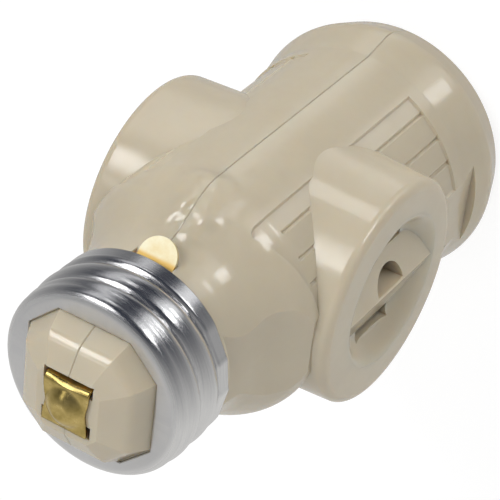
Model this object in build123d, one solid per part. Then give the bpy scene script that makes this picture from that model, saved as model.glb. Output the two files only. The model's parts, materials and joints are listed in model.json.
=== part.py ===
"""Lamp socket adapter: a screw base, two side outlets and a lamp socket in one moulded body.

Millimetres, +Z up. The socket's rim stands on z = 0 and the screw base points up.
The outlets face -X and +X, and the two housing halves meet on the plane x = 0.
"""

import os
from math import cos, radians, sin, sqrt, tan

from build123d import *

# Screw base and socket, medium screw size
base_thread_d = 26.05
socket_thread_d = 26.6
thread_pitch = 3.63
thread_depth = 0.925
thread_land = 1.0
thread_rear_land = 1.055
thread_front_land = 1.685
thread_round = 0.8
shell_wall = 0.35
base_shell_rear_z = 60.2
base_skirt_drop = 0.175
base_skirt_len = 1.4
base_front_drop = 0.275
base_front_round = 1.4
socket_shell_wall = 0.4
socket_shell_low_z = 3.0
socket_thread_len = 14.0
socket_top_d = 25.6
socket_lip_inner_r = 10.6

# Housing outside
barrel_r = 17.05
rim_r = 16.3
rim_round = 0.8
crest_r = 18.18
crest_z = 5.0
crest_round = 4.0
flare_top_z = 10.4
flare_round = 2.0
seam_line = 0.12
neck_lip = 0.45
shoulder_high_z = 55.77
shoulder_slope = 33.0
shoulder_round = 8.0
neck_round = 9.0
side_end_z = 8.1
side_drop = 0.6
side_low_z = 47.6
side_mid_x = 12.7
side_mid_z = 52.6
side_neck_drop = 1.6
side_high_z = 59.3
side_round = 9.0

# Ribbed panels beside the outlets, angles from the Y axis
panel_depth = 0.3
panel_low_z = 12.55
panel_high_z = 50.0
panel_high_x = 8.0
panel_end_slope = 21.8
panel_from_deg = 26.5
panel_to_deg = 75.0
panel_corner = 0.9
panel_wall = 0.25
groove_degs = (36.0, 49.0, 61.0)
groove_w = 0.6
groove_depth = 0.28

# Outlets
outlet_z = 31.15
outlet_face_x = 18.45
outlet_rise = 0.8
outlet_tip_r = 15.3
outlet_root_r = 16.2
outlet_round = 1.3
recess_r = 10.6
ridge_drop = 0.2
ridge_slope = 22.0
blade_pitch = 12.7
slot_w = 1.9
neutral_slot_len = 8.6
hot_slot_len = 7.7
pocket_r = 3.05
pocket_offset = 0.5
pocket_flat = 0.3
pocket_floor_x = 7.5

# Nose in front of the screw shell
nose_half = 9.05
nose_flat_half = 5.0
nose_edge_half = 7.6
nose_edge_height = 2.7
nose_top_half = 4.4
nose_height = 4.5
nose_round = 2.4
nose_slot_len = 7.0
nose_slot_w = 1.8
nose_slot_leg_y = -3.45
nose_slot_end_y = 2.5

# Rooms inside the housing
socket_floor_z = 23.0
floor_thick = 3.0
mouth_r = 14.5
mouth_len = 2.4
clip_room_in = 4.15
clip_room_out = 9.55
clip_room_x = 12.8
clip_room_top_z = 38.6
upper_room_x = 6.2
upper_room_y = 10.4
upper_room_top_z = 53.5
neck_room_x = 4.2
neck_room_hot_y = 7.6
nose_room_y = 6.0
nose_roof = 3.7
dowel_d = 2.4
dowel_len = 3.0
dowel_y = 13.2
dowel_low_z = 42.6
dowel_cover = 0.95
dowel_high_z = 61.5

# Contacts
strip_t = 0.6
strip_w = 6.0
clip_t = 0.45
clip_throat = 1.3
clip_inner = 2.4
clip_tail_x = 0.7
clip_tip_x = 12.3
clip_throat_x = 9.6
clip_neck_x = 6.0
clip_flare = 1.6
clip_drop = 3.6
clip_rise = 5.0
clip_web_t = 0.5
bus_y = 8.8
bus_top_z = 49.5
bus_shelf_half_x = 5.6
clip_rivet_x = 3.6
rivet_d = 1.6
rivet_head_d = 2.2
rivet_head_h = 0.45
strap_rivet_z = 46.0
strap_low_z = 43.0
floor_rivet_y = 7.0
contact_w = 6.3
contact_plate_gap = 0.1
contact_end_y = 3.1
contact_bend = 1.1
button_r = 2.85
button_dome_h = 0.9
button_h = 0.8
hot_cross_high_z = 64.0
hot_cross_low_z = 50.5
tab_w = 5.2
tab_t = 0.5
tab_shift = 0.25
tab_depth = 0.9
tab_rise = 3.8
tab_bend_drop = 0.84
tab_out = 2.85
tab_down = 2.31
leaf_t = 0.5
leaf_tip_z = 18.7
leaf_tip_y = -3.0
leaf_rest_y = 0.8
leaf_bend_y = 4.6
leaf_back_y = 9.2
tongue_y = 5.4
foot_y = 5.6
shelf_in_y = 4.4

# Clearances, and how far a cut runs past a face
slip = 0.1
touch = 0.05
past = 1.0

blade_y = blade_pitch / 2
floor_top_z = socket_floor_z + floor_thick
thread_r = base_thread_d / 2
thread_low_z = base_shell_rear_z + base_skirt_len
thread_flank = (thread_pitch - thread_land) / 2
first_groove_z = thread_low_z + thread_rear_land + thread_flank
groove_zs = (first_groove_z, first_groove_z + thread_pitch)
base_shell_front_z = groove_zs[-1] + thread_flank + thread_front_land
shell_bore_r = thread_r - thread_depth - shell_wall
core_r = shell_bore_r - slip
neck_r = shell_bore_r + neck_lip
socket_r = socket_thread_d / 2
socket_top_r = socket_top_d / 2
socket_step_z = socket_shell_low_z + socket_thread_len
socket_bore_r = socket_r + socket_shell_wall + slip
socket_top_bore_r = socket_top_r + socket_shell_wall + slip
socket_bore_top_z = socket_step_z + socket_shell_wall + slip
nose_base_z = base_shell_front_z - shell_wall - touch
nose_face_z = base_shell_front_z + nose_height
nose_room_top_z = nose_face_z - nose_roof
shoulder_low_z = shoulder_high_z - (barrel_r - neck_r) / tan(radians(shoulder_slope))
side_low_x = barrel_r - side_drop
side_high_x = neck_r - side_neck_drop
neck_step_z = base_shell_rear_z - slip
tab_top_z = base_shell_rear_z + tab_rise
tab_bend_z = base_shell_rear_z - tab_bend_drop
shelf_z = outlet_z + clip_rise + clip_web_t
neck_room_top_z = tab_top_z + 2 * slip
tab_room_half = tab_w / 2 + tab_shift + slip
tab_seat_y = shell_bore_r - tab_depth
tab_face_y = tab_seat_y + tab_t
dowel_high_y = core_r - dowel_d / 2 - dowel_cover


def near(shape, x, y):
    """The vertex of a flat outline nearest to a point."""
    return shape.vertices().sort_by_distance((x, y, 0))[0]


def outline(points):
    return make_face(Polyline(*points, close=True))


def block(x0, x1, y0, y1, z0, z1):
    return Pos((x0 + x1) / 2, (y0 + y1) / 2, (z0 + z1) / 2) * Box(x1 - x0, y1 - y0, z1 - z0)


def rod(axis, centre, length, radius):
    """A cylinder that starts at centre and runs along +X, +Y or +Z."""
    turn = {"x": Rot(0, 90, 0), "y": Rot(-90, 0, 0), "z": Rot(0, 0, 0)}[axis]
    return Pos(*centre) * turn * Cylinder(radius, length, align=(Align.CENTER, Align.CENTER, Align.MIN))


def octagon(half, flat_half):
    return outline(
        [
            (half, -flat_half),
            (half, flat_half),
            (flat_half, half),
            (-flat_half, half),
            (-half, flat_half),
            (-half, -flat_half),
            (-flat_half, -half),
            (flat_half, -half),
        ]
    )


def nose_ring(inset, z):
    """The nose's eight-sided outline moved inwards, at a height."""
    return Pos(0, 0, z) * octagon(nose_half - inset, nose_flat_half - inset * (sqrt(2) - 1))


def bent_strip(points, thickness, width):
    """A strip of sheet metal bent along (y, z) points, the points on its right-hand face."""
    sides = []
    for (y0, z0), (y1, z1) in zip(points, points[1:]):
        run = sqrt((y1 - y0) ** 2 + (z1 - z0) ** 2)
        sides.append(((z0 - z1) / run, (y1 - y0) / run))
    far = []
    for index, (y, z) in enumerate(points):
        before = sides[max(index - 1, 0)]
        after = sides[min(index, len(sides) - 1)]
        share = thickness / (1 + before[0] * after[0] + before[1] * after[1])
        far.append((y + share * (before[0] + after[0]), z + share * (before[1] + after[1])))
    face = Plane.YZ * outline(list(points) + far[::-1])
    return extrude(face, width / 2, both=True)


def rivet(axis, centre, grip):
    """A rivet whose shank starts at centre, with a head beyond each end of the grip."""
    start = {"x": (1, 0, 0), "y": (0, 1, 0), "z": (0, 0, 1)}[axis]
    low = tuple(c - rivet_head_h * s for c, s in zip(centre, start))
    high = tuple(c + grip * s for c, s in zip(centre, start))
    body = rod(axis, centre, grip, rivet_d / 2 - touch)
    body += rod(axis, low, rivet_head_h, rivet_head_d / 2)
    body += rod(axis, high, rivet_head_h, rivet_head_d / 2)
    return body


def seam_edges(shape, beyond_y):
    """The edges of a housing half on the seam plane that lie further out than a distance from the axis."""
    on_seam = shape.edges().filter_by_position(Axis.X, -touch / 2, touch / 2)
    return [edge for edge in on_seam if abs(edge.center().Y) > beyond_y]


def rim_edges(faces):
    """The edges that bound a group of faces."""
    edges = [edge for face in faces for edge in face.edges()]
    return [edge for edge in edges if sum(edge.is_same(other) for other in edges) == 1]


# Housing: the outside turned about Z, cut to the half on the +X side
body_line = outline(
    [
        (0, 0),
        (rim_r, 0),
        (crest_r, crest_z),
        (barrel_r, flare_top_z),
        (barrel_r, shoulder_low_z),
        (neck_r, shoulder_high_z),
        (neck_r, neck_step_z),
        (core_r, neck_step_z),
        (core_r, nose_base_z),
        (0, nose_base_z),
    ]
)
body_line = fillet(near(body_line, rim_r, 0), rim_round)
body_line = fillet(near(body_line, crest_r, crest_z), crest_round)
body_line = fillet(near(body_line, barrel_r, flare_top_z), flare_round)
body_line = fillet(near(body_line, barrel_r, shoulder_low_z), shoulder_round)
body_line = fillet(near(body_line, neck_r, shoulder_high_z), neck_round)
half = revolve(Plane.XZ * body_line, Axis.Z, 180)
half = Rot(0, 0, -90) * half
half = chamfer(seam_edges(half, core_r - dowel_d), seam_line)

side_line = outline(
    [
        (side_low_x, side_end_z),
        (side_low_x, side_low_z),
        (side_mid_x, side_mid_z),
        (side_high_x, side_high_z),
        (2 * barrel_r, side_high_z),
        (2 * barrel_r, side_end_z),
    ]
)
side_line = fillet(near(side_line, side_mid_x, side_mid_z), side_round)
half -= extrude(Plane.XZ * side_line, barrel_r, both=True)

# Ribbed panels: shallow recesses that follow barrel and shoulder, their ends towards the base cut aslant
panel_far_r = barrel_r + past
panel_end_rise = tan(radians(panel_end_slope))
panel_top_z = panel_high_z + panel_high_x * panel_end_rise
panel_side_z = panel_top_z - panel_far_r * panel_end_rise
panel_line = outline(
    [(0, panel_low_z), (panel_far_r, panel_low_z), (panel_far_r, panel_side_z), (0, panel_top_z)]
)
panel_zone = extrude(Plane.XZ * panel_line, panel_far_r, both=True)
floor_r = barrel_r - panel_depth
floor_bend_z = shoulder_low_z - panel_depth * tan(radians(shoulder_slope / 2))
floor_round = shoulder_round - panel_depth
floor_end_r = floor_r - (panel_top_z - floor_bend_z) * tan(radians(shoulder_slope))
recess_line = outline(
    [
        (floor_r, panel_low_z),
        (panel_far_r, panel_low_z),
        (panel_far_r, panel_top_z),
        (floor_end_r, panel_top_z),
        (floor_r, floor_bend_z),
    ]
)
recess_line = fillet(near(recess_line, floor_r, floor_bend_z), floor_round)
groove_start = (floor_r, panel_low_z + touch)
groove_turn = (floor_r, floor_bend_z - floor_round * tan(radians(shoulder_slope / 2)))
groove_path = Line(groove_start, groove_turn) + JernArc(groove_turn, (0, 1), floor_round, shoulder_slope)
groove_end = Plane((floor_r, 0, panel_low_z + touch)) * outline(
    [(-groove_depth, 0), (groove_depth, -groove_w), (groove_depth, groove_w)]
)
groove = panel_zone & sweep(groove_end, path=Plane.XZ * groove_path)
corner_x = barrel_r * sin(radians(panel_from_deg))
corner_y = barrel_r * cos(radians(panel_from_deg))
corner_z = panel_top_z - corner_x * panel_end_rise
for side in (1, -1):
    near_deg, far_deg = sorted((side * (90 - panel_from_deg), side * (90 - panel_to_deg)))
    recess = Rot(0, 0, near_deg) * revolve(Plane.XZ * recess_line, Axis.Z, far_deg - near_deg)
    recess &= panel_zone
    corners = recess.edges().filter_by(GeomType.LINE)
    recess = fillet(corners.sort_by_distance((corner_x, side * corner_y, corner_z))[0], panel_corner)
    floors = [face for face in recess.faces() if face.geom_type in (GeomType.TORUS, GeomType.CONE)]
    for face in recess.faces().filter_by(GeomType.CYLINDER):
        if abs(face.radius - floor_r) < touch:
            floors.append(face)
    half -= chamfer(rim_edges(floors), panel_wall)
    for groove_deg in groove_degs:
        half -= Rot(0, 0, side * (90 - groove_deg)) * groove

# Outlet boss on +X, turned about its own axis, which lies nearer to the base than the recess's
boss_line = outline([(0, 0), (outlet_face_x, 0), (outlet_face_x, outlet_tip_r), (0, outlet_root_r)])
boss_line = fillet(near(boss_line, outlet_face_x, outlet_tip_r), outlet_round)
half += Pos(0, 0, outlet_z + outlet_rise) * revolve(Plane.XZ * boss_line, Axis.X)

# Nose: an eight-sided foot with steep walls, then a low eight-sided hip up to its flat face
nose_edge_z = base_shell_front_z + nose_edge_height
nose = loft([nose_ring(0, nose_base_z), nose_ring(nose_half - nose_edge_half, nose_edge_z)], ruled=True)
nose += loft(
    [nose_ring(nose_half - nose_edge_half, nose_edge_z), nose_ring(nose_half - nose_top_half, nose_face_z)],
    ruled=True,
)
nose_edges = [edge for edge in nose.edges() if abs(edge.center().Z - nose_edge_z) < touch]
nose = fillet(nose_edges, nose_round)
nose &= block(0, 2 * barrel_r, -barrel_r, barrel_r, 0, 2 * nose_face_z)
half += chamfer([edge for edge in seam_edges(nose, 0) if edge.center().Z > nose_base_z + touch], seam_line)

# Outlet face: round recess with a ridge between the slots, and a half-round pocket by the ridge
ridge_x = outlet_face_x - ridge_drop
ridge_fall = recess_r * tan(radians(ridge_slope))
above_ridge = outline(
    [
        (ridge_x, 0),
        (ridge_x - ridge_fall, recess_r),
        (outlet_face_x + past, recess_r),
        (outlet_face_x + past, -recess_r),
        (ridge_x - ridge_fall, -recess_r),
    ]
)
recess = Pos(0, 0, outlet_z) * extrude(above_ridge, recess_r, both=True)
recess &= rod("x", (0, 0, outlet_z), outlet_face_x + past, recess_r)
half -= recess
for side, slot_len in ((-1, neutral_slot_len), (1, hot_slot_len)):
    half -= block(
        clip_room_x - past,
        outlet_face_x,
        side * blade_y - slot_w / 2,
        side * blade_y + slot_w / 2,
        outlet_z - slot_len / 2,
        outlet_z + slot_len / 2,
    )
pocket = rod("x", (pocket_floor_x, -pocket_offset, outlet_z), outlet_face_x, pocket_r)
pocket &= block(0, 2 * outlet_face_x, -2 * pocket_r, -pocket_flat, 0, 2 * outlet_z)
half -= pocket

# Rooms: lamp socket, clips, upper room, neck
half -= rod("z", (0, 0, -past), socket_bore_top_z + past, socket_bore_r)
half -= rod("z", (0, 0, socket_step_z), socket_floor_z - socket_step_z, socket_top_bore_r)
half -= rod("z", (0, 0, -past), mouth_len + past, mouth_r)
for side in (-1, 1):
    near_y, far_y = sorted((side * clip_room_in, side * clip_room_out))
    half -= block(-past, clip_room_x, near_y, far_y, floor_top_z, clip_room_top_z)
    hole_low = (0, side * floor_rivet_y, socket_floor_z - past)
    half -= rod("z", hole_low, floor_thick + 2 * past, rivet_d / 2 + touch)
half -= block(-past, upper_room_x, -upper_room_y, upper_room_y, clip_room_top_z - touch, upper_room_top_z)
half -= block(
    -past, neck_room_x, -clip_room_out, neck_room_hot_y, upper_room_top_z - touch, neck_room_top_z
)
half -= block(
    -past, neck_room_x, -nose_room_y, nose_room_y, neck_room_top_z - touch, nose_room_top_z
)
for slot_y in (nose_slot_leg_y, nose_slot_end_y):
    half -= block(
        -past,
        nose_slot_len / 2,
        slot_y - nose_slot_w / 2,
        slot_y + nose_slot_w / 2,
        nose_room_top_z - touch,
        nose_face_z + past,
    )

# Way out for the neutral strap, and its seat under the screw shell
half -= block(
    -past, tab_room_half, -thread_r, touch - clip_room_out, tab_top_z - tab_t - slip, tab_top_z + slip
)
seat_y = touch - tab_seat_y
seat_low_z = tab_bend_z - tab_t
seat_slope = tab_down / tab_out
seat_line = outline(
    [
        (seat_y, tab_top_z + slip),
        (seat_y, seat_low_z),
        (-thread_r, seat_low_z - seat_slope * (thread_r - tab_seat_y)),
        (-thread_r, tab_top_z + slip),
    ]
)
half -= extrude(Plane.YZ * seat_line, tab_room_half, both=True)

# The right half carries the dowels and the left half their holes
left = half
right = mirror(half, Plane.YZ)
for y, z in ((dowel_y, dowel_low_z), (-dowel_y, dowel_low_z), (dowel_high_y, dowel_high_z)):
    right += rod("x", (-past, y, z), dowel_len + past - slip, dowel_d / 2 - touch)
    left -= rod("x", (-past, y, z), dowel_len + past, dowel_d / 2)

# Screw shell: a cup over the neck, turned in around the nose; rings stand for its rolled thread
skirt_r = thread_r - base_skirt_drop
front_r = thread_r - base_front_drop
root_r = thread_r - thread_depth
wave = []
for groove_z in groove_zs:
    wave += [(thread_r, groove_z - thread_flank), (root_r, groove_z), (thread_r, groove_z + thread_flank)]
wave[-1] = (front_r, groove_zs[-1] + thread_flank)
cup_line = outline(
    [
        (shell_bore_r, base_shell_rear_z),
        (skirt_r, base_shell_rear_z),
        (skirt_r, thread_low_z),
        (thread_r, thread_low_z),
        *wave,
        (front_r, base_shell_front_z),
        (0, base_shell_front_z),
        (0, base_shell_front_z - shell_wall),
        (shell_bore_r, base_shell_front_z - shell_wall),
    ]
)
for bend in wave:
    cup_line = fillet(near(cup_line, *bend), thread_round)
cup_line = fillet(near(cup_line, front_r, base_shell_front_z), base_front_round)
base_shell = revolve(Plane.XZ * cup_line, Axis.Z)
nose_hole = octagon(nose_half + slip, nose_flat_half + slip)
base_shell -= Pos(0, 0, base_shell_front_z - shell_wall - past) * extrude(nose_hole, shell_wall + 2 * past)

# Centre contact of the base: plate with a button, and a leg that crosses to the hot bus
plate_low_z = nose_face_z + contact_plate_gap
leg_y = nose_slot_leg_y - strip_t / 2
plate_line = outline(
    [
        (contact_end_y, plate_low_z),
        (contact_end_y, plate_low_z + strip_t),
        (leg_y, plate_low_z + strip_t),
        (leg_y, nose_room_top_z),
        (leg_y + strip_t, nose_room_top_z),
        (leg_y + strip_t, plate_low_z),
    ]
)
plate_line = fillet(near(plate_line, leg_y, plate_low_z + strip_t), contact_bend)
plate_line = fillet(near(plate_line, leg_y + strip_t, plate_low_z), contact_bend - strip_t)
base_contact = extrude(Plane.YZ * plate_line, contact_w / 2, both=True)
base_contact += bent_strip(
    [
        (leg_y, nose_room_top_z + touch),
        (leg_y, hot_cross_high_z),
        (bus_y - strip_t, hot_cross_low_z),
        (bus_y - strip_t, strap_low_z),
    ],
    strip_t,
    contact_w,
)
plate_top_z = plate_low_z + strip_t
dome_r = (button_r**2 + button_dome_h**2) / (2 * button_dome_h)
dome = Pos(0, 0, plate_top_z + button_dome_h - dome_r) * Sphere(dome_r)
base_contact += dome & rod("z", (0, 0, plate_top_z - touch), button_h + touch, button_r)
base_contact -= rod("y", (0, 0, strap_rivet_z), 2 * bus_y, rivet_d / 2)

# Neutral strap: up inside the neck, out under the screw shell, its rounded end bent off the neck
neutral_strap = bent_strip(
    [
        (tab_t - bus_y, strap_low_z),
        (tab_t - bus_y, tab_top_z),
        (-tab_face_y, tab_top_z),
        (-tab_face_y, tab_bend_z),
        (-tab_face_y - tab_out, tab_bend_z - tab_down),
    ],
    tab_t,
    tab_w,
)
tab_tip = (0, -tab_face_y - tab_out, tab_bend_z - tab_down)
tab_plane = Plane(tab_tip, x_dir=(1, 0, 0), z_dir=(0, -tab_down, tab_out))
tab_round = Pos(0, tab_w / 4) * Rectangle(tab_w + past, tab_w / 2) - Pos(0, tab_w / 2) * Circle(tab_w / 2)
neutral_strap -= extrude(tab_plane * tab_round, 2 * tab_t, both=True)
neutral_strap = Pos(-tab_shift, 0, 0) * neutral_strap
neutral_strap -= rod("y", (0, -2 * bus_y, strap_rivet_z), 2 * bus_y, rivet_d / 2)

# One bus for each pole: an upright with a foot on the socket's floor and a shelf over the clips
hot_bus = block(-strip_w / 2, strip_w / 2, bus_y, bus_y + strip_t, floor_top_z, bus_top_z)
hot_bus += block(-strip_w / 2, strip_w / 2, foot_y, bus_y + strip_t, floor_top_z, floor_top_z + strip_t)
hot_bus += block(-bus_shelf_half_x, bus_shelf_half_x, shelf_in_y, bus_y + strip_t, shelf_z, shelf_z + strip_t)
hot_bus -= rod("y", (0, 0, strap_rivet_z), 2 * bus_y, rivet_d / 2)
hot_bus -= rod("z", (0, floor_rivet_y, socket_floor_z), 2 * floor_thick, rivet_d / 2)
for side in (-1, 1):
    hot_bus -= rod("z", (side * clip_rivet_x, blade_y, outlet_z), 2 * clip_rise, rivet_d / 2)
neutral_bus = mirror(hot_bus, Plane.XZ)

# Spring clip for one blade, on the left outlet's hot side
clip = block(
    clip_tail_x,
    clip_neck_x,
    blade_y - clip_inner / 2 - clip_t,
    blade_y + clip_inner / 2 + clip_t,
    shelf_z - clip_web_t,
    shelf_z,
)
for side in (-1, 1):
    inside = [
        (clip_tail_x, blade_y + side * clip_inner / 2),
        (clip_neck_x, blade_y + side * clip_inner / 2),
        (clip_throat_x, blade_y + side * clip_throat / 2),
        (clip_tip_x, blade_y + side * clip_flare),
    ]
    outside = [(x, y + side * clip_t) for x, y in reversed(inside)]
    leaf = extrude(outline(inside + outside), clip_drop + clip_rise)
    clip += Pos(0, 0, outlet_z - clip_drop) * leaf
clip -= rod("z", (clip_rivet_x, blade_y, outlet_z), 2 * clip_rise, rivet_d / 2)
clip_rivet = rivet("z", (clip_rivet_x, blade_y, shelf_z - clip_web_t), clip_web_t + strip_t)

# Lamp socket: its shell, a plain tube here, and the spring leaf
lip_z = socket_floor_z - socket_shell_wall
tube_line = outline(
    [
        (socket_r, socket_shell_low_z),
        (socket_r + socket_shell_wall, socket_shell_low_z),
        (socket_r + socket_shell_wall, socket_step_z + socket_shell_wall),
        (socket_top_r + socket_shell_wall, socket_step_z + socket_shell_wall),
        (socket_top_r + socket_shell_wall, socket_floor_z),
        (socket_lip_inner_r, socket_floor_z),
        (socket_lip_inner_r, lip_z),
        (socket_top_r, lip_z),
        (socket_top_r, socket_step_z),
        (socket_r, socket_step_z),
    ]
)
socket_shell = revolve(Plane.XZ * tube_line, Axis.Z)
socket_shell += block(
    -strip_w / 2, strip_w / 2, -socket_lip_inner_r - past, -tongue_y, lip_z, socket_floor_z
)
socket_shell -= rod("z", (0, -floor_rivet_y, 0), 2 * socket_floor_z, rivet_d / 2)
socket_contact = bent_strip(
    [
        (leaf_back_y, socket_floor_z),
        (leaf_bend_y, socket_floor_z),
        (leaf_rest_y, leaf_tip_z),
        (leaf_tip_y, leaf_tip_z),
    ],
    leaf_t,
    strip_w,
)
socket_contact -= rod("z", (0, floor_rivet_y, 0), 2 * socket_floor_z, rivet_d / 2)

floor_grip = floor_thick + strip_t
pieces = {
    "housing_right": right,
    "housing_left": left,
    "base_shell": base_shell,
    "base_contact": base_contact,
    "neutral_strap": neutral_strap,
    "neutral_bus": neutral_bus,
    "hot_bus": hot_bus,
    "clip_left_hot": clip,
    "clip_left_neutral": mirror(clip, Plane.XZ),
    "clip_right_hot": mirror(clip, Plane.YZ),
    "clip_right_neutral": Rot(0, 0, 180) * clip,
    "clip_rivet_left_hot": clip_rivet,
    "clip_rivet_left_neutral": mirror(clip_rivet, Plane.XZ),
    "clip_rivet_right_hot": mirror(clip_rivet, Plane.YZ),
    "clip_rivet_right_neutral": Rot(0, 0, 180) * clip_rivet,
    "hot_strap_rivet": rivet("y", (0, bus_y - strip_t, strap_rivet_z), 2 * strip_t),
    "neutral_strap_rivet": rivet("y", (0, -bus_y - strip_t, strap_rivet_z), strip_t + tab_t),
    "socket_shell": socket_shell,
    "socket_contact": socket_contact,
    "socket_shell_rivet": rivet("z", (0, -floor_rivet_y, lip_z), floor_grip + socket_shell_wall),
    "socket_contact_rivet": rivet("z", (0, floor_rivet_y, socket_floor_z - leaf_t), floor_grip + leaf_t),
}

os.makedirs("parts", exist_ok=True)
for name, shape in pieces.items():
    export_step(shape, f"parts/{name}.step")
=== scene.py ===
"""Looks of the lamp socket adapter: ivory moulded housing, rolled screw shells and brass contacts."""

import json
import math

import bmesh
import bpy
from mathutils import Matrix, Vector


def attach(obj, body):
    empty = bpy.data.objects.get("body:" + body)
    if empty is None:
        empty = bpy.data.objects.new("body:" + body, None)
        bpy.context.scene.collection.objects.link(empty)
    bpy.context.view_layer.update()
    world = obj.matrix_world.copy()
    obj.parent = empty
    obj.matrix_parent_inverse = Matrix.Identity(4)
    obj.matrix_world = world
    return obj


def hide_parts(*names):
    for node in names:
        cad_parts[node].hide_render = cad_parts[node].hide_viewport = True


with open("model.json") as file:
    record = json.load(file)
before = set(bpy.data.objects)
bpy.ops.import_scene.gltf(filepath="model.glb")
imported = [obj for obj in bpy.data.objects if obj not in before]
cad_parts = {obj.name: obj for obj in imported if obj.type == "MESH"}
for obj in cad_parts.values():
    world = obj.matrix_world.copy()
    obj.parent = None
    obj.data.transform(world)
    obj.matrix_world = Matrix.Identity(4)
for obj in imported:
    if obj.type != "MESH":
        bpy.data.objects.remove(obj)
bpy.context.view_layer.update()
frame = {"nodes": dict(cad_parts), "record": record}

# Lengths below are millimetres, and angles are degrees unless a name says otherwise
MM = 0.001

# Screw threads, right-hand, medium screw size
PITCH = 3.63
CREST_POWER = 0.6

# Screw shell of the base
BASE_CREST_R = 13.025
BASE_ROOT_R = 12.1
BASE_WALL = 0.35
BASE_FRONT_Z = 70.6
BASE_REAR_Z = 60.2
BASE_ROLL_R = 1.5
BASE_FRONT_R = 12.75
BASE_LEAD_FROM = 3.4
BASE_LEAD_TO = 1.6
BASE_SKIRT_R = 12.85
BASE_SKIRT_LEN = 1.5
BASE_SKIRT_FADE = 0.9
BASE_THREAD_Z = 69.2
BASE_COLUMNS = 216
CRIMPS = (-152.0, -172.0, 168.0)
CRIMP_HALF = 11.0
CRIMP_LEN = 2.2
CRIMP_FADE = 0.5
HOLE_HALF = 9.15
HOLE_FLAT_HALF = 5.1

# Threaded shell of the lamp socket, and its tongue under the rivet
SOCKET_ROOT_R = 13.3
SOCKET_CREST_R = 12.45
SOCKET_WALL = 0.4
SOCKET_LOW_Z = 3.0
SOCKET_STEP_Z = 17.0
SOCKET_TOP_R = 12.8
SOCKET_FLOOR_Z = 23.0
SOCKET_LIP_R = 10.6
SOCKET_FADE = 1.2
SOCKET_COLUMNS = 180
TONGUE_HALF = 3.0
TONGUE_END_Y = -5.4
TONGUE_CORNER = 1.2
TONGUE_LAP = 0.6

# Centre contact on the nose
PLATE_TOP_Z = 75.55
PLATE_HALF = 3.15
PLATE_END_Y = 3.1
LEG_Y = -3.75
STRIP = 0.42
ROLL_R = 1.0
LEG_BEND_Z = 64.0
BUS_BEND_Z = 50.5
LEG_END_Z = 43.0
BUS_Y = 8.8
DOME_R = 2.75
DOME_H = 1.05
DOME_Y = 0.1
DOME_POWER = 1.5
DISC_R = 0.95
CREASE_DEPTH = 0.03
CREASE_FADE = 8
SIDE_PULL = 0.35
SIDE_PULL_REACH = 1.5
ROLL_PUSH = 0.3
ROLL_PUSH_REACH = 1.9

# Slopes of the strip in radians: where the dome's foot ends, the push is full, and the leg starts
DOME_TURN = 0.3
PUSH_TURN = 0.8
LEG_TURN = 1.5

# Outlets: round recess with a ridge along its middle, and a slot on each side of the ridge
OUTLET_Z = 31.15
OUTLET_FACE_X = 18.45
RECESS_R = 10.6
RIDGE_X = 18.25
RIDGE_SLOPE = 22.0
BLADE_Y = 6.35
SLOT_W = 1.9
NEUTRAL_SLOT_LEN = 8.6
HOT_SLOT_LEN = 7.7
DISH_DEPTH = 2.4
DISH_W = 3.2
DISH_COLUMNS = 240
DISH_SHARP = 35
BURIED = 0.05

# Colours, linear; a pair is the two ends of a surface's mottling
IVORY = ((0.47, 0.41, 0.305), (0.50, 0.44, 0.33))
SEAM_BROWN = (0.20, 0.125, 0.06)
SHELL_GREY = ((0.78, 0.78, 0.795), (0.90, 0.895, 0.89))
CONTACT_BRASS = ((0.48, 0.36, 0.11), (0.74, 0.57, 0.22))
RIVET_BRASS = ((0.58, 0.42, 0.16), (0.72, 0.54, 0.22))
# Tongue of the neutral strap: brass lightened to stand in for a highlight, a painted highlight
TONGUE_PAINTED_HIGHLIGHT = ((0.84, 0.72, 0.44), (0.90, 0.84, 0.62))
# Deeper gold that stands in for the shade at the strap's bend, a painted shade
STRAP_BEND_PAINTED_SHADE = (0.78, 0.52, 0.16)

# Finishes: a pair is the two ends of a roughness that follows the mottling; scales of noise are per metre
PLASTIC_ROUGHNESS = (0.11, 0.17)
PLASTIC_MOTTLE = 90
PLASTIC_WAVES = 210
PLASTIC_RIPPLE = 290
PLASTIC_SEAM = 420
PLASTIC_IOR = 1.85
SHELL_ROUGHNESS = (0.13, 0.24)
SHELL_FRONT_ROUGHNESS = 0.3
SHELL_GRAIN = 2600
SHELL_GRAIN_SHARE = 0.4
BRASS_ROUGHNESS = (0.16, 0.28)
BRASS_PATCHES = 700
BRASS_GRAIN = 1800
TONGUE_ROUGHNESS = 0.4
TONGUE_PATCHES = 500
STAGE_ROUGHNESS = 0.9

# Streaks of the rolled shells: noise over (angle, height), and how much each is stretched, per radian and metre
STREAKS = 1.6
STREAKS_AROUND = 1.2
STREAKS_ALONG = 4000.0

# Places of finishes: the seam's ragged half-width, the ripple by the seam on the shoulder,
# the duller front of the screw shell, and the band of painted shade at the bend of the neutral strap
SEAM_HALF_MIN = 0.04
SEAM_HALF_MAX = 0.15
SEAM_TINT = 0.25
RIPPLE_HALF_X = 3.5
RIPPLE_LOW_Z = 46.0
RIPPLE_HIGH_Z = 54.5
RIPPLE_SOFT = 2.0
DULL_FROM_Z = 70.25
DULL_FULL_Z = 70.58
PAINTED_SHADE_LOW_Z = 58.7
PAINTED_SHADE_HIGH_Z = 65.0
PAINTED_SHADE_SOFT = 0.2

# Camera fitted to the photo, on a 36 mm wide sensor
CAMERA_AT = (-118.55, -183.163, 253.268)
CAMERA_AIM = (-0.587, -0.931, 36.896)
CAMERA_UP = (0.39209, -0.79775, -0.45811)
CAMERA_LENS = 174.558
SENSOR_W = 36
CLIP_NEAR = 10
CLIP_FAR = 10000

# White stage: albedo and glow of the floor and walls that the camera sees, and of the bounce floor
STAGE_HALF = 900
FLOOR_ALBEDO = 0.2
FLOOR_GLOW = 0.85
WALL_ALBEDO = 0.1
WALL_GLOW = 1.0
BOUNCE_ALBEDO = 0.9
BOUNCE_GLOW = 0.18
BOUNCE_Z = -0.5

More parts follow.
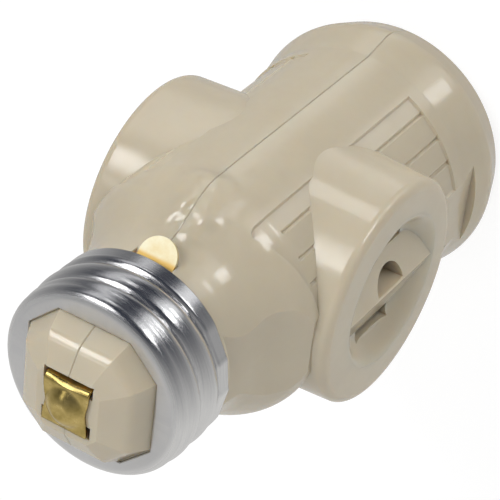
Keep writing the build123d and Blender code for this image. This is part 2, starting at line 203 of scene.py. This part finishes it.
# Area lamps: name, place, width and height, watts
LAMP_AIM = (0, 0, 38)
LAMPS = (
    ("key", (195, -324, 334), (240, 200), 0.96),
    ("front", (-149, -408, 147), (240, 200), 0.48),
    ("top", (-60, 60, 420), (320, 320), 0.52),
)

# Backdrop: radiance in front and behind, and how far along Y one passes into the other
BACKDROP_FRONT = (0.032, 0.036, 0.05)
BACKDROP_BACK = (0.62, 0.615, 0.60)
BACKDROP_BLEND = 0.7

# Light panels of the backdrop: azimuths from -Y towards +X, elevations, width of their soft edge, radiance
PANELS = (
    (18, 44, 26, 49, 4.0, 3.8),
    (44, 60, 50, 60, 4.0, 1.6),
    (12, 20, -18, -3, 2.0, 1.7),
    (-40, -27, -31, -24, 1.5, 3.2),
    (-40, -29, -9, 13, 1.5, 4.0),
    (22, 40, -62, 12, 8.0, 0.6),
    (-38, -16, -62, 10, 6.0, 0.8),
)


# Meshes


def link(obj):
    bpy.context.scene.collection.objects.link(obj)
    return obj


def mesh_object(name, verts, faces, material, smooth=True):
    """A mesh from millimetre points, its faces turned outwards."""
    mesh = bpy.data.meshes.new(name)
    mesh.from_pydata([[c * MM for c in v] for v in verts], [], faces)
    shape = bmesh.new()
    shape.from_mesh(mesh)
    bmesh.ops.recalc_face_normals(shape, faces=shape.faces)
    for face in shape.faces:
        face.smooth = smooth
    shape.to_mesh(mesh)
    shape.free()
    mesh.materials.append(material)
    return link(bpy.data.objects.new(name, mesh))


def upright(x, y, z):
    return (x, y, z)


def lathe(name, angles, rings, material, place=upright):
    """Closed skin through rings, each a function of the angle that gives (radius, height)."""
    verts = []
    for ring in rings:
        for angle in angles:
            r, z = ring(angle)
            verts.append(place(r * math.cos(angle), r * math.sin(angle), z))
    columns = len(angles)
    faces = []
    for row in range(len(rings)):
        low = row * columns
        high = (row + 1) % len(rings) * columns
        for column in range(columns):
            beside = (column + 1) % columns
            faces.append((low + column, low + beside, high + beside, high + column))
    return mesh_object(name, verts, faces, material)


def round_ring(r, z):
    return lambda angle: (r, z)


def wall_ring(radius, z, inset=0.0):
    """A ring at one height, its radius a function of angle and height."""
    return lambda angle: (radius(angle, z) - inset, z)


def smoothstep(low, high, value):
    t = min(max((value - low) / (high - low), 0.0), 1.0)
    return t * t * (3 - 2 * t)


# Materials


class Nodes:
    """A node tree, and short ways to add nodes to it."""

    def __init__(self, tree, place):
        self.nodes = tree.nodes
        self.links = tree.links
        self.place = self.add("ShaderNodeTexCoord").outputs[place]

    def add(self, kind, **values):
        node = self.nodes.new(kind)
        for key, value in values.items():
            setattr(node, key, value)
        return node

    def join(self, source, target):
        self.links.new(source, target)

    def coordinates(self):
        split = self.add("ShaderNodeSeparateXYZ")
        self.join(self.place, split.inputs["Vector"])
        return split.outputs["X"], split.outputs["Y"], split.outputs["Z"]

    def noise(self, scale, detail=3.0, rough=0.5, vector=None):
        node = self.add("ShaderNodeTexNoise")
        node.inputs["Scale"].default_value = scale
        node.inputs["Detail"].default_value = detail
        node.inputs["Roughness"].default_value = rough
        self.join(vector or self.place, node.inputs["Vector"])
        return node.outputs["Fac"]

    def math(self, operation, first, second=None):
        node = self.add("ShaderNodeMath", operation=operation)
        for socket, value in zip(node.inputs, (first, second)):
            if value is None:
                continue
            if isinstance(value, (int, float)):
                socket.default_value = value
            else:
                self.join(value, socket)
        return node.outputs["Value"]

    def remap(self, source, from_low, from_high, to_low, to_high, interpolation="LINEAR"):
        node = self.add("ShaderNodeMapRange", interpolation_type=interpolation)
        self.join(source, node.inputs["Value"])
        node.inputs["From Min"].default_value = from_low
        node.inputs["From Max"].default_value = from_high
        node.inputs["To Min"].default_value = to_low
        node.inputs["To Max"].default_value = to_high
        return node.outputs["Result"]

    def band(self, source, low, high, soft):
        """1 between two values and 0 outside, with soft ends."""
        rise = self.remap(source, low - soft, low + soft, 0.0, 1.0, "SMOOTHSTEP")
        fall = self.remap(source, high - soft, high + soft, 1.0, 0.0, "SMOOTHSTEP")
        return self.math("MULTIPLY", rise, fall)

    def ramp(self, source, low, high, colors):
        """The first colour up to a low value, the second from a high one, and a blend between."""
        node = self.add("ShaderNodeValToRGB")
        self.join(source, node.inputs["Fac"])
        for element, position, color in zip(node.color_ramp.elements, (low, high), colors):
            element.position = position
            element.color = (*color, 1)
        return node.outputs["Color"]

    def mix(self, factor, first, second):
        """From a colour socket to a plain colour."""
        node = self.add("ShaderNodeMix", data_type="RGBA")
        self.join(factor, node.inputs["Factor"])
        from_socket, to_socket = [socket for socket in node.inputs if socket.type == "RGBA"]
        self.join(first, from_socket)
        to_socket.default_value = (*second, 1)
        return [socket for socket in node.outputs if socket.type == "RGBA"][0]

    def bump(self, height, strength, distance):
        node = self.add("ShaderNodeBump")
        node.inputs["Strength"].default_value = strength
        node.inputs["Distance"].default_value = distance
        self.join(height, node.inputs["Height"])
        return node


class Shader(Nodes):
    """A material with a Principled shader."""

    def __init__(self, name):
        self.material = bpy.data.materials.new(name)
        self.material.use_nodes = True
        super().__init__(self.material.node_tree, "Object")
        self.principled = self.nodes["Principled BSDF"]

    def set(self, **sockets):
        for key, value in sockets.items():
            self.principled.inputs[key.replace("_", " ")].default_value = value

    def feed(self, **sockets):
        for key, source in sockets.items():
            self.join(source, self.principled.inputs[key.replace("_", " ")])


def moulded_plastic():
    """Glossy ivory, a little brown along the seam, and rippled by the seam on the shoulder."""
    shader = Shader("ivory_moulded_plastic")
    x, _, z = shader.coordinates()
    mottle = shader.noise(PLASTIC_MOTTLE, detail=4, rough=0.6)
    ivory = shader.ramp(mottle, 0.3, 0.7, IVORY)
    ragged_noise = shader.noise(PLASTIC_SEAM)
    ragged = shader.remap(ragged_noise, 0.35, 0.65, SEAM_HALF_MIN * MM, SEAM_HALF_MAX * MM)
    seam = shader.add("ShaderNodeMapRange")
    shader.join(shader.math("ABSOLUTE", x), seam.inputs["Value"])
    shader.join(ragged, seam.inputs["From Max"])
    seam.inputs["To Min"].default_value = SEAM_TINT
    seam.inputs["To Max"].default_value = 0.0
    color = shader.mix(seam.outputs["Result"], ivory, SEAM_BROWN)
    by_seam = shader.band(x, -RIPPLE_HALF_X * MM, RIPPLE_HALF_X * MM, RIPPLE_SOFT * MM)
    by_height = shader.band(z, RIPPLE_LOW_Z * MM, RIPPLE_HIGH_Z * MM, RIPPLE_SOFT * MM)
    on_shoulder = shader.math("MULTIPLY", by_seam, by_height)
    rippled = shader.math("MULTIPLY", shader.noise(PLASTIC_RIPPLE, detail=1), on_shoulder)
    ripple = shader.bump(rippled, strength=0.8, distance=1.6 * MM)
    waves = shader.bump(shader.noise(PLASTIC_WAVES, detail=2), strength=0.16, distance=0.4 * MM)
    shader.join(ripple.outputs["Normal"], waves.inputs["Normal"])
    shader.feed(
        Base_Color=color,
        Roughness=shader.remap(mottle, 0.2, 0.8, *PLASTIC_ROUGHNESS),
        Normal=waves.outputs["Normal"],
    )
    shader.set(IOR=PLASTIC_IOR)
    shader.set(Subsurface_Weight=0.4, Subsurface_Radius=(1.0, 0.65, 0.35), Subsurface_Scale=3 * MM)
    return shader.material


def rolled_aluminium():
    """Bright sheet with fine streaks round the axis, duller on the front of the screw shell."""
    shader = Shader("rolled_aluminium")
    x, y, z = shader.coordinates()
    around = shader.math("ARCTAN2", y, x)
    streak_place = shader.add("ShaderNodeCombineXYZ")
    shader.join(shader.math("MULTIPLY", around, STREAKS_AROUND), streak_place.inputs["X"])
    shader.join(shader.math("MULTIPLY", z, STREAKS_ALONG), streak_place.inputs["Y"])
    streaks = shader.noise(STREAKS, detail=4, rough=0.65, vector=streak_place.outputs["Vector"])
    grain = shader.noise(SHELL_GRAIN, detail=2)
    wall_roughness = shader.remap(streaks, 0.3, 0.7, *SHELL_ROUGHNESS)
    front_roughness = shader.remap(z, DULL_FROM_Z * MM, DULL_FULL_Z * MM, 0.0, SHELL_FRONT_ROUGHNESS)
    height = shader.math("ADD", streaks, shader.math("MULTIPLY", grain, SHELL_GRAIN_SHARE))
    bump = shader.bump(height, strength=0.16, distance=0.1 * MM)
    tangent = shader.add("ShaderNodeTangent", direction_type="RADIAL", axis="Z")
    shader.feed(
        Base_Color=shader.ramp(streaks, 0.3, 0.7, SHELL_GREY),
        Roughness=shader.math("ADD", wall_roughness, front_roughness),
        Normal=bump.outputs["Normal"],
        Tangent=tangent.outputs["Tangent"],
    )
    shader.set(Metallic=1.0, Anisotropic=0.5)
    return shader.material


def stamped_brass(name, colors):
    shader = Shader(name)
    patches = shader.noise(BRASS_PATCHES, detail=4, rough=0.6)
    bump = shader.bump(shader.noise(BRASS_GRAIN), strength=0.12, distance=0.1 * MM)
    shader.feed(
        Base_Color=shader.ramp(patches, 0.3, 0.7, colors),
        Roughness=shader.remap(patches, 0.3, 0.7, *BRASS_ROUGHNESS),
        Normal=bump.outputs["Normal"],
    )
    shader.set(Metallic=1.0)
    return shader.material


def strap_brass():
    """Brass of the neutral strap: lightened on its tongue as a painted highlight, and a deeper gold by the bend
    under the shell as painted shade.
    """
    shader = Shader("strap_brass")
    _, _, z = shader.coordinates()
    # Painted highlight: the tongue's brass is lightened to read as a highlight
    painted_highlight = shader.ramp(shader.noise(TONGUE_PATCHES, rough=0.6), 0.35, 0.65, TONGUE_PAINTED_HIGHLIGHT)
    # Painted shade: a deeper gold band by the bend under the shell
    painted_shade_by_bend = shader.band(z, PAINTED_SHADE_LOW_Z * MM, PAINTED_SHADE_HIGH_Z * MM, PAINTED_SHADE_SOFT * MM)
    bump = shader.bump(shader.noise(BRASS_GRAIN), strength=0.12, distance=0.1 * MM)
    shader.feed(Base_Color=shader.mix(painted_shade_by_bend, painted_highlight, STRAP_BEND_PAINTED_SHADE), Normal=bump.outputs["Normal"])
    shader.set(Metallic=1.0, Roughness=TONGUE_ROUGHNESS)
    return shader.material


def stage_white(name, albedo, glow):
    shader = Shader(name)
    shader.set(Base_Color=(albedo, albedo, albedo, 1), Roughness=STAGE_ROUGHNESS)
    shader.set(Emission_Color=(1, 1, 1, 1), Emission_Strength=glow)
    return shader.material


PLASTIC = moulded_plastic()
ALUMINIUM = rolled_aluminium()
BRASS = stamped_brass("stamped_brass", CONTACT_BRASS)

SLOT_MATERIALS = {
    "housing": PLASTIC,
    "screw_shell": ALUMINIUM,
    "contact": BRASS,
    "rivet": stamped_brass("rivet_brass", RIVET_BRASS),
}
NODE_MATERIALS = {"neutral_strap": strap_brass()}
for subpart in frame["record"]["subparts"]:
    node_name = subpart["node"]
    for material_slot in frame["nodes"][node_name].material_slots:
        material_slot.material = NODE_MATERIALS.get(node_name, SLOT_MATERIALS[subpart["material_slot"]])


# Screw shell of the base


def thread_wave(angle, z, start_z):
    """1 on the crest of a right-hand thread and 0 in its groove, with round crests and creased grooves."""
    turns = (z - start_z) / PITCH - angle / math.tau
    off_crest = 2 * abs(turns - round(turns))
    return (1 - off_crest**2) ** CREST_POWER


def hole_radius(angle):
    """Distance from the axis to the edge of the eight-sided hole."""
    c = abs(math.cos(angle))
    s = abs(math.sin(angle))
    return min(HOLE_HALF / max(c, s), (HOLE_HALF + HOLE_FLAT_HALF) / (c + s))


def shell_angles(count):
    """Even angles, and those of the eight-sided hole's corners."""
    corner = math.atan2(HOLE_FLAT_HALF, HOLE_HALF)
    corners = [(quarter * math.pi / 2 + way * corner) % math.tau for quarter in range(4) for way in (1, -1)]
    return sorted([math.tau * i / count for i in range(count)] + corners)


def crimp(angle, z):
    """Share of the radius that is left where the skirt is pressed flat."""
    share = 1.0
    half = math.radians(CRIMP_HALF)
    for centre in CRIMPS:
        off = (angle - math.radians(centre) + math.pi) % math.tau - math.pi
        if abs(off) < half:
            share = math.cos(half) / math.cos(off)
    depth = smoothstep(BASE_REAR_Z + CRIMP_LEN, BASE_REAR_Z + CRIMP_LEN - CRIMP_FADE, z)
    return 1 + (share - 1) * depth


def base_outer_radius(angle, z):
    """The thread, which passes into a plain skirt at the rear and a plain lead at the front."""
    r = BASE_ROOT_R + (BASE_CREST_R - BASE_ROOT_R) * thread_wave(angle, z, BASE_THREAD_Z)
    skirt_z = BASE_REAR_Z + BASE_SKIRT_LEN
    r += (BASE_SKIRT_R - r) * smoothstep(skirt_z + BASE_SKIRT_FADE, skirt_z, z)
    r += (BASE_FRONT_R - r) * smoothstep(BASE_FRONT_Z - BASE_LEAD_FROM, BASE_FRONT_Z - BASE_LEAD_TO, z)
    return r * crimp(angle, z)


def base_shell_skin():
    flat_r = BASE_FRONT_R - BASE_ROLL_R

    def front_ring(share):
        return lambda angle: (hole_radius(angle) + share * (flat_r - hole_radius(angle)), BASE_FRONT_Z)

    front_steps = 8
    rings = [front_ring(step / front_steps) for step in range(front_steps)]
    roll_steps = 12
    wall_top_z = BASE_FRONT_Z - BASE_ROLL_R
    for step in range(roll_steps):
        turn = math.pi / 2 * step / roll_steps
        r = flat_r + BASE_ROLL_R * math.sin(turn)
        rings.append(round_ring(r, BASE_FRONT_Z - BASE_ROLL_R * (1 - math.cos(turn))))
    wall_steps = 120
    for step in range(wall_steps + 1):
        z = wall_top_z + (BASE_REAR_Z - wall_top_z) * step / wall_steps
        rings.append(wall_ring(base_outer_radius, z))
    for step in range(wall_steps // 2 + 1):
        z = BASE_REAR_Z + (wall_top_z - BASE_REAR_Z) * 2 * step / wall_steps
        rings.append(wall_ring(base_outer_radius, z, BASE_WALL))
    inner_roll_r = BASE_ROLL_R - BASE_WALL
    for step in range(roll_steps, -1, -2):
        turn = math.pi / 2 * step / roll_steps
        r = flat_r + inner_roll_r * math.sin(turn)
        rings.append(round_ring(r, wall_top_z + inner_roll_r * math.cos(turn)))
    rings.append(lambda angle: (hole_radius(angle), BASE_FRONT_Z - BASE_WALL))
    skin = lathe("base_shell_thread", shell_angles(BASE_COLUMNS), rings, ALUMINIUM)
    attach(skin, "root")
    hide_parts("base_shell")


base_shell_skin()


# Brass centre contact: one strip from the pressed plate over the roll and down to the hot bus


def contact_path():
    """Points (y, z, turn) of the strip's outer face, the turn being its slope in radians."""
    path = []
    plate_steps = 26
    for step in range(plate_steps + 1):
        path.append((PLATE_END_Y + (LEG_Y + ROLL_R - PLATE_END_Y) * step / plate_steps, PLATE_TOP_Z, 0.0))
    roll_steps = 10
    for step in range(1, roll_steps + 1):
        turn = math.pi / 2 * step / roll_steps
        y = LEG_Y + ROLL_R - ROLL_R * math.sin(turn)
        path.append((y, PLATE_TOP_Z - ROLL_R + ROLL_R * math.cos(turn), turn))
    path.append((LEG_Y, LEG_BEND_Z, math.pi / 2))
    path.append((BUS_Y - STRIP, BUS_BEND_Z, math.pi / 2))
    path.append((BUS_Y - STRIP, LEG_END_Z, math.pi / 2))
    return path


def dome_height(x, y):
    """Pressed button on the plate: flat disc, round flank and a crease at its foot."""
    share = (math.hypot(x, y - DOME_Y) - DISC_R) / (DOME_R - DISC_R)
    if share <= 0:
        return DOME_H - CREASE_DEPTH
    if share >= 1:
        return -CREASE_DEPTH * math.exp(-CREASE_FADE * (share - 1))
    return (DOME_H + CREASE_DEPTH) * (1 - share**DOME_POWER) - CREASE_DEPTH


def contact_point(column, y, z, turn, inner):
    """A point of the strip, drawn in at the sides beside the button and pushed in at the roll's middle."""
    beside = math.exp(-(((y - DOME_Y) / SIDE_PULL_REACH) ** 2)) if turn < LEG_TURN else 0.0
    x = (PLATE_HALF - SIDE_PULL * beside) * column
    depth = STRIP if inner else 0.0
    pushed = ROLL_PUSH * math.exp(-((x / ROLL_PUSH_REACH) ** 2)) * smoothstep(0.0, PUSH_TURN, turn)
    lift = dome_height(x, y) if turn < DOME_TURN else 0.0
    return (x, y + depth * math.sin(turn) + pushed, z - depth * math.cos(turn) + lift)


def contact_strip():
    columns = 44
    path = contact_path()
    verts = []
    for inner in (False, True):
        for y, z, turn in path:
            for column in range(columns + 1):
                verts.append(contact_point(2 * column / columns - 1, y, z, turn, inner))
    row = columns + 1
    far = row * len(path)
    faces = []
    for step in range(len(path) - 1):
        for column in range(columns):
            low = step * row + column
            faces.append((low, low + 1, low + row + 1, low + row))
            faces.append((far + low, far + low + row, far + low + row + 1, far + low + 1))
        for low in (step * row, step * row + columns):
            faces.append((low, low + row, far + low + row, far + low))
    for column in range(columns):
        for low in (column, (len(path) - 1) * row + column):
            faces.append((low, low + 1, far + low + 1, far + low))
    strip = mesh_object("contact_strip", verts, faces, BRASS)
    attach(strip, "root")
    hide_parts("base_contact")


contact_strip()


# Lamp socket's threaded shell


def socket_inner_radius(angle, z):
    low_end = smoothstep(SOCKET_LOW_Z, SOCKET_LOW_Z + SOCKET_FADE, z)
    ends = low_end * smoothstep(SOCKET_STEP_Z, SOCKET_STEP_Z - SOCKET_FADE, z)
    return SOCKET_ROOT_R - (SOCKET_ROOT_R - SOCKET_CREST_R) * thread_wave(angle, z, SOCKET_LOW_Z) * ends


def socket_shell_skin():
    rings = []
    wall_steps = 84
    for step in range(wall_steps + 1):
        z = SOCKET_LOW_Z + (SOCKET_STEP_Z - SOCKET_LOW_Z) * step / wall_steps
        rings.append(wall_ring(socket_inner_radius, z))
    lip_z = SOCKET_FLOOR_Z - SOCKET_WALL
    step_z = SOCKET_STEP_Z + SOCKET_WALL
    rings += [
        round_ring(SOCKET_TOP_R, SOCKET_STEP_Z),
        round_ring(SOCKET_TOP_R, lip_z),
        round_ring(SOCKET_LIP_R, lip_z),
        round_ring(SOCKET_LIP_R, SOCKET_FLOOR_Z),
        round_ring(SOCKET_TOP_R + SOCKET_WALL, SOCKET_FLOOR_Z),
        round_ring(SOCKET_TOP_R + SOCKET_WALL, step_z),
        round_ring(SOCKET_ROOT_R + SOCKET_WALL, step_z),
    ]
    for step in range(wall_steps + 1):
        z = SOCKET_STEP_Z + (SOCKET_LOW_Z - SOCKET_STEP_Z) * step / wall_steps
        rings.append(wall_ring(socket_inner_radius, z, -SOCKET_WALL))
    skin = lathe("socket_shell_thread", shell_angles(SOCKET_COLUMNS), rings, ALUMINIUM)
    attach(skin, "root")
    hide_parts("socket_shell")


def socket_tongue():
    """The shell's tongue under its rivet, with a rounded end."""
    lip_y = -SOCKET_LIP_R - TONGUE_LAP
    line = [(TONGUE_HALF, lip_y), (-TONGUE_HALF, lip_y)]
    corner_steps = 6
    for way, steps in ((-1, range(corner_steps + 1)), (1, range(corner_steps, -1, -1))):
        for step in steps:
            turn = math.pi / 2 * step / corner_steps
            x = way * (TONGUE_HALF - TONGUE_CORNER * (1 - math.cos(turn)))
            line.append((x, TONGUE_END_Y - TONGUE_CORNER + TONGUE_CORNER * math.sin(turn)))
    count = len(line)
    low_z = SOCKET_FLOOR_Z - SOCKET_WALL
    verts = [(x, y, z) for z in (low_z, SOCKET_FLOOR_Z) for x, y in line]
    faces = [tuple(range(count)), tuple(range(2 * count - 1, count - 1, -1))]
    for i in range(count):
        j = (i + 1) % count
        faces.append((i, j, count + j, count + i))
    tongue = mesh_object("socket_shell_tongue", verts, faces, ALUMINIUM, smooth=False)
    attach(tongue, "root")
    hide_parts("socket_shell")


socket_shell_skin()
socket_tongue()


# Dished rims of the outlets, between the ridge's flanks and the rim


def dish_depth(r):
    return DISH_DEPTH * smoothstep(RECESS_R, RECESS_R - DISH_W, r)


def flank_depth(y):
    return OUTLET_FACE_X - RIDGE_X + abs(y) * math.tan(math.radians(RIDGE_SLOPE))


def slot_end(angle):
    """Where a line from the recess's centre leaves the slot on its side, or 0 where it misses it."""
    tiny = 1e-9
    c = abs(math.cos(angle))
    s = max(abs(math.sin(angle)), tiny)
    half_len = (HOT_SLOT_LEN if math.cos(angle) > 0 else NEUTRAL_SLOT_LEN) / 2
    if half_len / s * c < BLADE_Y - SLOT_W / 2:
        return 0.0
    return min((BLADE_Y + SLOT_W / 2) / max(c, tiny), half_len / s)


def dish_start(angle):
    """Radius where the dish comes out of the ridge's flank, or the slot's outer edge."""
    halvings = 40
    low, high = 0.0, RECESS_R
    for _ in range(halvings):
        r = (low + high) / 2
        if dish_depth(r) > flank_depth(r * math.cos(angle)):
            low = r
        else:
            high = r
    return max(low, slot_end(angle))


def dish_angles(count):
    """Even angles, and those of the slots' corners."""
    corners = []
    for way, slot_len in ((1, HOT_SLOT_LEN), (-1, NEUTRAL_SLOT_LEN)):
        for edge_y in (BLADE_Y - SLOT_W / 2, BLADE_Y + SLOT_W / 2):
            corners += [math.atan2(z, way * edge_y) % math.tau for z in (slot_len / 2, -slot_len / 2)]
    return sorted([math.tau * i / count for i in range(count)] + corners)


def outlet_dish(name, side):
    """A closed ring of plastic on one outlet's recess, its back just inside the housing."""

    def along(angle, share):
        start = dish_start(angle)
        return start + share * (RECESS_R - start)

    def front(share):
        def ring(angle):
            r = along(angle, share)
            return (r, OUTLET_FACE_X - min(dish_depth(r), flank_depth(r * math.cos(angle))))

        return ring

    def back(share):
        def ring(angle):
            r = along(angle, share)
            return (r, OUTLET_FACE_X - flank_depth(r * math.cos(angle)) - BURIED)

        return ring

    def place(y, z, x):
        return (side * x, y, OUTLET_Z + z)

    steps = 14
    outer_r = RECESS_R + 2 * BURIED
    rings = [front(step / steps) for step in range(steps + 1)]
    rings.append(round_ring(outer_r, OUTLET_FACE_X - BURIED))
    rings.append(lambda angle: (outer_r, back(1.0)(angle)[1]))
    rings += [back(1 - step / steps) for step in range(steps + 1)]
    dish = lathe(name, dish_angles(DISH_COLUMNS), rings, PLASTIC, place)
    dish.data.set_sharp_from_angle(angle=math.radians(DISH_SHARP))
    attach(dish, "root")


outlet_dish("outlet_dish_right", -1)
outlet_dish("outlet_dish_left", 1)


# Stage, lights and camera


def stage_piece(name, verts, faces, material):
    """A piece of the stage that is neither mirrored nor throws a shadow."""
    piece = mesh_object(name, verts, faces, material, smooth=False)
    piece.visible_glossy = False
    piece.visible_shadow = False
    return piece


def stage_corners(height):
    return [(x * STAGE_HALF, y * STAGE_HALF, height) for x, y in ((-1, -1), (1, -1), (1, 1), (-1, 1))]


def stage():
    """White floor and walls for the camera alone, and a floor for bounced light alone."""
    level = [(0, 1, 2, 3)]
    sides = [(i, (i + 1) % 4, 4 + (i + 1) % 4, 4 + i) for i in range(4)]
    around = stage_corners(0) + stage_corners(STAGE_HALF)
    floor_white = stage_white("white_floor", FLOOR_ALBEDO, FLOOR_GLOW)
    floor = stage_piece("floor", stage_corners(0), level, floor_white)
    floor.visible_diffuse = False
    walls = stage_piece("walls", around, sides, stage_white("white_wall", WALL_ALBEDO, WALL_GLOW))
    walls.visible_diffuse = False
    bounce_white = stage_white("bounce", BOUNCE_ALBEDO, BOUNCE_GLOW)
    bounce = stage_piece("bounce", stage_corners(BOUNCE_Z), level, bounce_white)
    bounce.visible_camera = False


def backdrop():
    """Grey surroundings, dark in front and light behind, with the light panels that the gloss mirrors."""
    world = bpy.data.worlds.new("studio")
    world.use_nodes = True
    tree = Nodes(world.node_tree, "Generated")
    x, y, z = tree.coordinates()
    behind = tree.remap(y, -BACKDROP_BLEND, BACKDROP_BLEND, 0.0, 1.0)
    grey = tree.nodes["Background"]
    tree.join(tree.ramp(behind, 0.0, 1.0, (BACKDROP_FRONT, BACKDROP_BACK)), grey.inputs["Color"])
    from_front = tree.math("ARCTAN2", x, tree.math("MULTIPLY", y, -1.0))
    azimuth = tree.math("MULTIPLY", from_front, 180 / math.pi)
    elevation = tree.math("MULTIPLY", tree.math("ARCSINE", z), 180 / math.pi)
    glow = None
    for az_low, az_high, el_low, el_high, soft, radiance in PANELS:
        across = tree.band(azimuth, az_low, az_high, soft)
        panel = tree.math("MULTIPLY", across, tree.band(elevation, el_low, el_high, soft))
        panel = tree.math("MULTIPLY", panel, radiance)
        glow = panel if glow is None else tree.math("MAXIMUM", glow, panel)
    panels = tree.add("ShaderNodeBackground")
    panels.inputs["Color"].default_value = (1, 1, 1, 1)
    tree.join(glow, panels.inputs["Strength"])
    both = tree.add("ShaderNodeAddShader")
    tree.join(grey.outputs["Background"], both.inputs[0])
    tree.join(panels.outputs["Background"], both.inputs[1])
    tree.join(both.outputs["Shader"], tree.nodes["World Output"].inputs["Surface"])
    bpy.context.scene.world = world


def area_light(name, at, size, power):
    """A lamp that lights the part and is neither seen nor mirrored."""
    data = bpy.data.lights.new(name, "AREA")
    data.shape = "RECTANGLE"
    data.size = size[0] * MM
    data.size_y = size[1] * MM
    data.energy = power
    light = link(bpy.data.objects.new(name, data))
    light.location = Vector(at) * MM
    light.rotation_euler = (Vector(LAMP_AIM) - Vector(at)).to_track_quat("-Z", "Y").to_euler()
    light.visible_camera = False
    light.visible_glossy = False


def photo_camera():
    data = bpy.data.cameras.new("photo_camera")
    data.sensor_width = SENSOR_W
    data.lens = CAMERA_LENS
    data.clip_start = CLIP_NEAR * MM
    data.clip_end = CLIP_FAR * MM
    camera = link(bpy.data.objects.new("photo_camera", data))
    back = (Vector(CAMERA_AT) - Vector(CAMERA_AIM)).normalized()
    right = Vector(CAMERA_UP).cross(back).normalized()
    up = back.cross(right)
    turn = Matrix((right, up, back)).transposed()
    camera.matrix_world = Matrix.Translation(Vector(CAMERA_AT) * MM) @ turn.to_4x4()
    bpy.context.scene.camera = camera


stage()
backdrop()
for lamp in LAMPS:
    area_light(*lamp)
photo_camera()
bpy.context.scene.view_settings.view_transform = "Standard"
